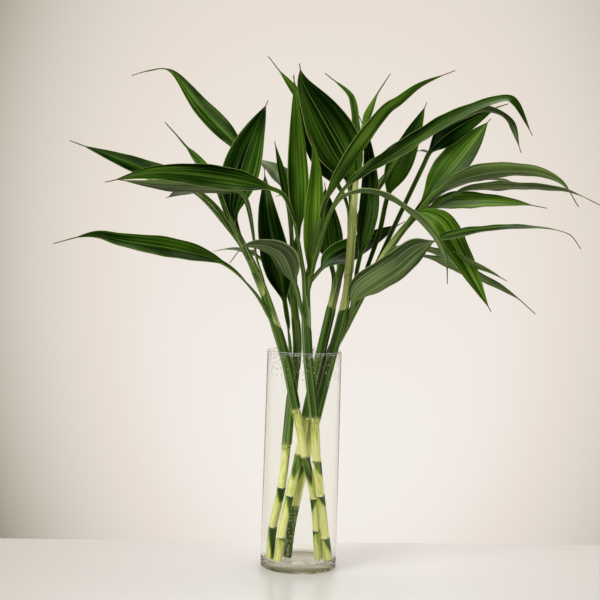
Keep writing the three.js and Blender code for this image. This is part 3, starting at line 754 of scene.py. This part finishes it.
def add_leaf(bm, layers, stalk, leaf, root_at, grip_radius, grip_length, older):
    """One leaf as a skin over its middle line, from the foot of its sheath to the tip. The older
    leaves, each with the distance where it leaves the stalk, bare the pale young sheath above."""
    uv, blade_layer, tone_layer, pale_layer, breadth_layer, dry_layer = layers
    axis = stalk["line"]
    middle = Line([axis.point(root_at), *(in_metres(point) for point in leaf["along"])])
    total = grip_length + middle.length
    first, stem_way = middle.direction(0), axis.direction(root_at)
    outward = (first - stem_way * first.dot(stem_way)).normalized()
    base_face = (stem_way - first * stem_way.dot(first)).normalized()
    blade_face = Vector(leaf["face"]).normalized()
    tip_face = Vector(leaf.get("tip_face", leaf["face"])).normalized()
    blade_start = middle.knots[leaf["blade_at"] + 1] / middle.length
    thread = min(0.97, leaf.get("thread_at", THREAD_AT))
    hug_radius = grip_radius - HUG_INSET
    seed = LEAF_GRAIN.randint(0, 90)
    flutter = [LEAF_GRAIN.uniform(0, math.tau) for _ in range(4)]

    def course(distance, u, t):
        """The middle line's place and way, and where the upper side looks. The rolled sheath lies
        on the stalk, and the leaf's own stalk leans away from it."""
        if distance < 0:
            way = axis.direction(root_at + distance)
            out = (outward - way * outward.dot(way)).normalized()
            return axis.point(root_at + distance) + out * hug_radius, way, -out
        turned = base_face.lerp(blade_face, smooth(u / (blade_start + 0.1)))
        facing = turned.lerp(tip_face, smooth(5 * t - 1.4))
        leaning = outward * hug_radius * (1 - smooth(distance / LEAN_LENGTH))
        return middle.point(distance) + leaning, middle.direction(distance), facing

    def arc(distance, across, half, opened):
        """The section: nearly a full ring round the stalk, a channel, then almost flat."""
        rise = CHANNEL + (FOLD - CHANNEL) * opened
        let_go = smooth((distance + ROLL_OPENS[0]) / ROLL_OPENS[1])
        channel = 2 * math.atan(rise)
        angle = FULL_RING + (channel - FULL_RING) * let_go
        radius = hug_radius + (half / math.sin(channel) - hug_radius) * let_go
        crease = CREASE * opened * half * rise * (abs(across) - across ** 2)
        return radius * math.sin(angle * across), radius * (1 - math.cos(angle * across)) + crease

    def waved(distance, across, strength):
        """The blade's edges are waved, each side in its own measure."""
        side = 0 if across < 0 else 1
        wave = WAVE * strength * math.sin(math.tau * distance / WAVE_LENGTH)
        edge = math.sin(math.tau * distance / EDGE_WAVE_LENGTHS[side] + flutter[side])
        return EDGE_WAVE * strength * across ** 4 * edge - wave * across

    made = bmesh.ops.create_grid(bm, x_segments=LEAF_COLUMNS, y_segments=round(total / LEAF_STEP),
                                 size=0.5)["verts"]
    for face in {face for corner in made for face in corner.link_faces}:
        for loop in face.loops:
            loop[uv].uv = (loop.vert.co.x + 0.5,
                           seed + (loop.vert.co.y + 0.5) * total * PER_METRE)
    for corner in made:
        across = 2 * corner.co.x
        from_foot = (corner.co.y + 0.5) * total
        torn = (TORN_SLANT * math.cos(math.pi * across + flutter[2])
                + TORN_NICKS * math.sin(13 * across + flutter[3]))
        from_foot += torn * (1 - smooth(from_foot / TORN_REACH))
        distance = from_foot - grip_length
        u = max(0, distance) / middle.length
        t = min(1, max(0, (u - blade_start) / (1 - blade_start)))
        opened = 1 - math.exp(-t / FLATTENS)
        half = blade_width(t, leaf) / 2

        centre, way, facing = course(distance, u, t)
        side = way.cross(facing).normalized()
        sideways, height = arc(distance, across, half, opened)
        height += waved(distance, across, opened * (1 - t))
        corner.co = centre + side * sideways + side.cross(way) * height

        bare = [pale_share(one, root_at + distance - place) for one, place in older]
        bare.append(0 if older else smooth(1.1 - from_foot / YOUNG_FOOT))
        corner[blade_layer] = t if distance > 0 else 0
        corner[tone_layer] = leaf["tone"]
        corner[pale_layer] = max(bare) if distance < 0 else 0
        corner[breadth_layer] = half / BROADEST
        corner[dry_layer] = smooth((t - thread + DRY_FROM) / (1 - thread))


def veined(name, depth, sheath, rib, edge, young, roughness, gloss, gloss_tint):
    """A leaf side: pleats along the veins, a fine midrib, a pale margin of painted rim light and a
    dry tip.
    """
    material, shader = finish_of(name, {
        "Specular IOR Level": gloss, "Specular Tint": shade(gloss_tint)})
    uv = add(material, "UVMap", uv_map="across_and_along").outputs[0]
    across = add(material, "SeparateXYZ", {0: uv}).outputs[0]
    from_rib = reckon(material, "ABSOLUTE", reckon(material, "ADD", across, -0.5))
    blade, tone, pale, breadth, dry = (
        carried(material, mark) for mark in ("blade", "tone", "pale", "breadth", "dry"))
    pleats = streaks(material, uv, (11, 0.25), detail=1.0)
    main_veins = streaks(material, uv, (20, 0.25), detail=2.0)
    veins = streaks(material, uv, (55, 0.35), detail=2.0)
    patches = streaks(material, uv, (1.6, 0.9), detail=1.0)
    bands = streaks(material, uv, (3, 0.5), detail=1.0)

    # The blade, from its dark furrows to its yellow-green youth. The leaf's tone, partly painted
    # light, sets how far it goes.
    fresh = ramp(material, pleats, young)
    youth_and_painted_light = reckon(material, "ADD", tone, reckon(material, "MULTIPLY_ADD", patches, 0.9, -0.42),
                   clamp=True)
    colour = mixed(material, youth_and_painted_light, ramp(material, pleats, depth), fresh)
    colour = mixed(material, 0.6, colour, ramp(material, patches, (
        (0.38, "#2e2e2e"), (0.62, "#c4c4c4"))), "SOFT_LIGHT")

    # The rolled sheath under it.
    # The leaf's tone, partly painted light, also lightens its sheath.
    rolled = mixed(material, tone, ramp(material, pleats, sheath), fresh)
    rolled = mixed(material, 0.7, rolled, ramp(material, bands, (
        (0.35, "#30352a"), (0.65, "#d2d8b4"))), "SOFT_LIGHT")
    colour = mixed(material, between(material, blade, 0.0, 0.05, 1.0, 0.0), colour, rolled)

    # Veins, midrib, the pale margin, which is painted rim light, the pale young tissue and the dry
    # tip.
    colour = mixed(material, between(material, main_veins, 0.6, 0.7, 0.0, 0.6), colour, rib)
    colour = mixed(material, between(material, from_rib, 0.004, 0.02, 0.5, 0.0), colour, rib)
    # The pale line along the margin is painted rim light.
    colour = mixed(material, between(material, from_rib, 0.476, 0.494, 0.0, 0.7), colour, edge)
    streaked = reckon(material, "MULTIPLY_ADD", veins, 3.0, -1.5)
    ragged = reckon(material, "ADD", pale, reckon(material, "MULTIPLY", pale, streaked), clamp=True)
    colour = mixed(material, ragged, colour, ramp(material, veins, (
        (0.3, "#93a14a"), (0.5, "#b4ba6c"), (0.7, "#d8dab0"))))
    colour = mixed(material, dry, colour, "#5d4c3b")
    material.node_tree.links.new(colour, shader.inputs["Base Color"])

    sheen = between(material, pleats, 0.0, 1.0, roughness - 0.1, roughness + 0.12)
    material.node_tree.links.new(sheen, shader.inputs["Roughness"])
    relief(material, shader, pleats, 0.35, reckon(material, "MULTIPLY", breadth, 0.9 * MM))
    return material


# edge is the colour of the painted rim light along each margin.
upper_side = veined(
    "leaf_upper_side",
    depth=((0.34, "#071d02"), (0.5, "#0c2a04"), (0.68, "#17400a")),
    sheath=((0.3, "#2c411a"), (0.55, "#465f2a"), (0.75, "#8a9a5c")),
    young=((0.34, "#36570d"), (0.5, "#4d7016"), (0.68, "#7c9b3d")),
    rib="#748f4e", edge="#98a35a", roughness=0.3, gloss=0.2, gloss_tint="#a9c07f")
underside = veined(
    "leaf_underside",
    depth=((0.34, "#435634"), (0.5, "#5f7148"), (0.66, "#8a9872")),
    sheath=((0.3, "#2c451c"), (0.5, "#526f34"), (0.65, "#7e9459"), (0.78, "#b9c296")),
    young=((0.3, "#55722a"), (0.6, "#769044"), (0.75, "#a3b47c")),
    rib="#aab392", edge="#a5ac7c", roughness=0.46, gloss=0.22, gloss_tint="#ccd8b0")

for stalk in STALKS:
    bm = bmesh.new()
    layers = (bm.loops.layers.uv.new("across_and_along"),
              *(bm.verts.layers.float.new(mark) for mark in (
                  "blade", "tone", "pale", "breadth", "dry")))
    older = []
    for leaf, root_at, radius in departures(stalk):
        grip = root_at - stalk["sheath_start"] - LOWEST_FOOT
        if older:
            grip = min(grip, GRIP_LENGTH)
        add_leaf(bm, layers, stalk, leaf, root_at, radius, grip, older)
        older.append((leaf, root_at))
    leaves = piece_from(f"leaves_{stalk['number']}", bm, [upper_side, underside])
    body = leaves.modifiers.new("leaf_body", "SOLIDIFY")
    body.thickness = LEAF_THICKNESS
    body.offset = -1
    body.material_offset = 1
    body.material_offset_rim = 1
    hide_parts(f"shoot_{stalk['number']}")

# --- Table ----------------------------------------------------------------------------------------
# A glossy white table top, whose rear edge runs a little askew behind the vase. Its colour darkens
# to the sides, a painted falloff of the lamps' light, and it glows faintly, a painted light that
# lifts its shadows. It isn't part of the object, nor is the light wall behind it, which is the
# world's own colour.

TABLE = ((-3, -4), (3, -4), (3, 0.443), (-3, -0.111))
TABLE_THICKNESS = 0.04
TABLE_MIDDLE = 0.06  # where the painted falloff of light is lightest, to the right of the vase's middle

bm = bmesh.new()
top = bm.faces.new([bm.verts.new((x, y, 0)) for x, y in TABLE])
slab = bmesh.ops.extrude_face_region(bm, geom=[top])["geom"]
bmesh.ops.translate(bm, verts=[corner for corner in slab if isinstance(corner, bmesh.types.BMVert)],
                    vec=(0, 0, -TABLE_THICKNESS))
bmesh.ops.recalc_face_normals(bm, faces=bm.faces)
bmesh.ops.bevel(bm, geom=[edge for edge in bm.edges if all(end.co.z == 0 for end in edge.verts)],
                offset=2 * MM, segments=3, profile=0.5, affect="EDGES", material=-1)
# The faint glow is painted light, which lifts the table's shadows.
lacquer, lacquer_shader = finish_of("white_lacquer", {
    "Roughness": 0.22, "Specular IOR Level": 0.3, "Emission Color": shade("#e8e5e0"),
    "Emission Strength": 0.18})
place = add(lacquer, "TexCoord").outputs["Object"]
aside = add(lacquer, "SeparateXYZ", {0: place}).outputs[0]
off_middle = reckon(lacquer, "ABSOLUTE", reckon(lacquer, "ADD", aside, -TABLE_MIDDLE))
# Painted falloff of the lamps' light: the colour darkens to the sides.
painted_light_falloff = mixed(lacquer, between(lacquer, off_middle, 0.12, 0.48), "#c9c7c3", "#a09c96")
lacquer.node_tree.links.new(painted_light_falloff, lacquer_shader.inputs["Base Color"])
wiped = add(lacquer, "Mapping", {
    "Vector": place, "Location": (15, 27.01, 30), "Scale": (5, 6.752, 0)}).outputs[0]
dust = add(lacquer, "TexNoise", {"Vector": wiped, "Scale": 1.0, "Detail": 3.0})
lacquer.node_tree.links.new(between(lacquer, dust.outputs[0], 0.0, 1.0, 0.18, 0.3),
                            lacquer_shader.inputs["Roughness"])
table = object_of("table_top", bm, [lacquer])

# --- Light ----------------------------------------------------------------------------------------
# Large soft boxes on both sides and overhead. The warm off-white wall behind is brightest right of
# the middle and falls off to the corners, most to the lower left. The room on the camera's side is
# dim, though never where the camera or the glass sees it.

BRIGHTEST = (0.019, -0.011)  # the wall's brightest direction, by its x and z
WALL_REACH = (0.192, 0.194 / 0.7)  # from there to the dark corners, in x and z
WALL_SLANT = -0.08  # which darkens the lower left and the upper right
WALL_FALLOFF = 2.5
DARK_ROOM = 0.05  # strength of the light from the camera's side

world = bpy.data.worlds.new("studio")
bpy.context.scene.world = world
world.use_nodes = True
toward = add(world, "TexCoord").outputs["Generated"]
aside, ahead, upward = add(world, "SeparateXYZ", {0: toward}).outputs
across = reckon(world, "MULTIPLY", reckon(world, "ADD", aside, -BRIGHTEST[0]), 1 / WALL_REACH[0])
down = reckon(world, "MULTIPLY", reckon(world, "ADD", upward, -BRIGHTEST[1]), -1 / WALL_REACH[1])
round_middle = reckon(world, "ADD", reckon(world, "MULTIPLY", across, across),
                      reckon(world, "MULTIPLY", down, down))
slant = reckon(world, "MULTIPLY", across, reckon(world, "MULTIPLY", down, WALL_SLANT))
falloff = reckon(world, "POWER", reckon(world, "ADD", round_middle, slant), WALL_FALLOFF)
darker_top = reckon(world, "MULTIPLY_ADD", down, -0.1, 0.06)
shadowed = reckon(world, "MULTIPLY_ADD", falloff, 0.29, darker_top)
seen = add(world, "LightPath").outputs
in_view = reckon(world, "MULTIPLY", seen["Is Camera Ray"], between(world, ahead, 0.86, 0.93))
darkest = between(world, in_view, 0.0, 1.0, 0.12, 1.0)
wall_colour = ramp(world, reckon(world, "MINIMUM", shadowed, darkest), (
    (0.0, "#f1ede8"), (0.12, "#e6ddd4"), (0.5, "#cbc4b9"), (1.0, "#a1998c")))
seen_wall = reckon(world, "MAXIMUM", seen["Is Camera Ray"], seen["Is Transmission Ray"])
room = between(world, ahead, 0.0, 0.9, DARK_ROOM, 1.0)
wall = world.node_tree.nodes["Background"]
world.node_tree.links.new(wall_colour, wall.inputs["Color"])
world.node_tree.links.new(reckon(world, "MAXIMUM", room, seen_wall), wall.inputs["Strength"])

SOFT_BOXES = (  # name, place, size and power
    ("key", (-1.4, -1.5, 1.6), 1.3, 48),
    ("overhead", (0.3, 0.3, 2.0), 1.4, 24),
    ("fill", (1.7, -1.2, 1.0), 1.2, 14),
)
LIT_POINT = (0, 0, 0.35)  # which all of them face
for name, place, size, power in SOFT_BOXES:
    lamp = bpy.data.lights.new(name, "AREA")
    lamp.shape = "SQUARE"
    lamp.size = size
    lamp.energy = power
    box = bpy.data.objects.new(name, lamp)
    bpy.context.scene.collection.objects.link(box)
    box.location = place
    box.rotation_euler = (Vector(LIT_POINT) - Vector(place)).to_track_quat("-Z", "Y").to_euler()

# --- Camera ---------------------------------------------------------------------------------------
# A long lens in front of the vase, a little above the middle of the plant. It looks slightly down
# and is rolled a little, as it was fitted to the rim and the foot of the vase.

HALF_PICTURE, FOCAL_LENGTH = 300, 1543  # in pixels of a picture 600 wide
EYE = (-0.0084, -2.1, 0.471)
LOOKS_DOWN, ROLLED = 2.85, 1.75  # in degrees

lens = bpy.data.cameras.new("camera")
lens.angle = 2 * math.atan(HALF_PICTURE / FOCAL_LENGTH)
camera = bpy.data.objects.new("camera", lens)
bpy.context.scene.collection.objects.link(camera)
camera.matrix_world = (Matrix.Translation(EYE)
                       @ Matrix.Rotation(math.radians(90 - LOOKS_DOWN), 4, "X")
                       @ Matrix.Rotation(math.radians(ROLLED), 4, "Z"))
bpy.context.scene.camera = camera
bpy.context.scene.view_settings.view_transform = "Standard"
bpy.context.scene.view_settings.look = "Medium High Contrast"
bpy.context.scene.view_settings.exposure = -0.2

bpy.context.view_layer.update()
